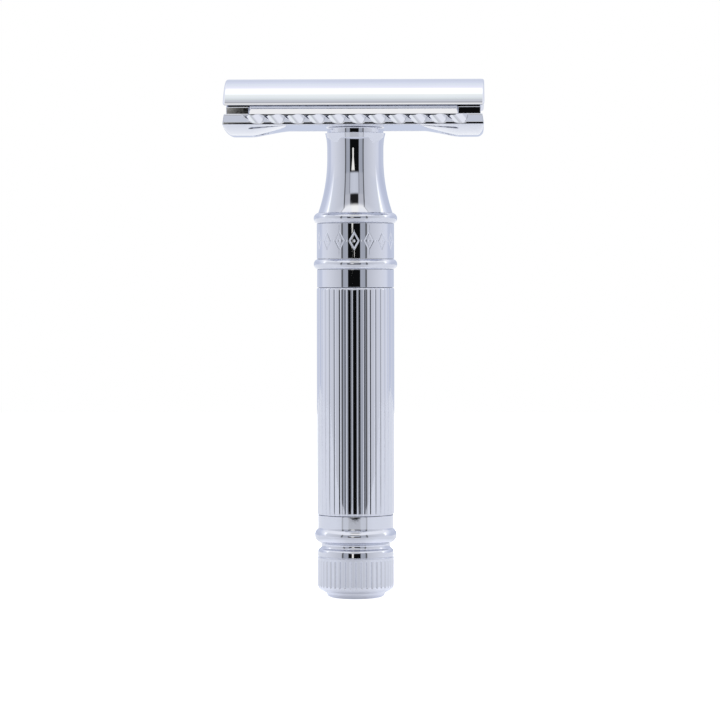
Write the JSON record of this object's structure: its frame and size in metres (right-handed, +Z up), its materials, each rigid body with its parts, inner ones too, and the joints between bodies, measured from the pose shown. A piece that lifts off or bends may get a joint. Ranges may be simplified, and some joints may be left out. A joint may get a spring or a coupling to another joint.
{
  "type": "safety razor",
  "caption": "Double-edge safety razor with no blade loaded: domed cap and scalloped guard plate clamped by a screw on a fluted, beaded, chrome-plated handle that stands on its foot.",
  "frame": {"origin": "centre of the flat underside of the handle's foot, on the handle's axis", "axes": "+Z up along the handle towards the head; X along the head; -Y and +Y face the two shaving edges"},
  "size_m": [0.0432, 0.024, 0.087],
  "materials": {
    "polished_chrome": "mirror-polished chrome plate over turned brass and die-cast zinc",
    "brass": "machined brass, threaded",
    "plain_steel": "plain machined steel",
    "seal_rubber": "matt black rubber"
  },
  "bodies": {
    "handle": {"handle_neck": "polished_chrome", "thread_insert": "brass", "upper_bead_ring": "polished_chrome", "engraved_band": "polished_chrome", "lower_bead_ring": "polished_chrome", "top_collar": "polished_chrome", "grip_sleeve": "polished_chrome", "tail_collar": "polished_chrome", "end_knob": "polished_chrome", "foot_disc": "polished_chrome", "tie_rod": "plain_steel", "lock_nut": "plain_steel", "spring_washer": "plain_steel", "flat_washer": "plain_steel", "upper_seal_ring": "seal_rubber", "lower_seal_ring": "seal_rubber"},
    "guard": {"base_plate": "polished_chrome"},
    "cap": {"top_cap": "polished_chrome", "cap_stud": "brass", "cap_peg_left": "polished_chrome", "cap_peg_right": "polished_chrome"}
  },
  "joints": [
    {"name": "head_turn", "type": "hinge", "parent": "handle", "child": "guard", "pos_m": [0, 0, 0.0784], "axis": [0, 0, 1], "range_deg": [0, 2160]},
    {"name": "cap_rise", "type": "slide", "parent": "guard", "child": "cap", "axis": [0, 0, 1], "range_m": [0, 0.0048]}
  ],
  "couplings": [
    {"joint": "cap_rise", "follows": "head_turn", "m_per_rad": 0.00012732}
  ]
}
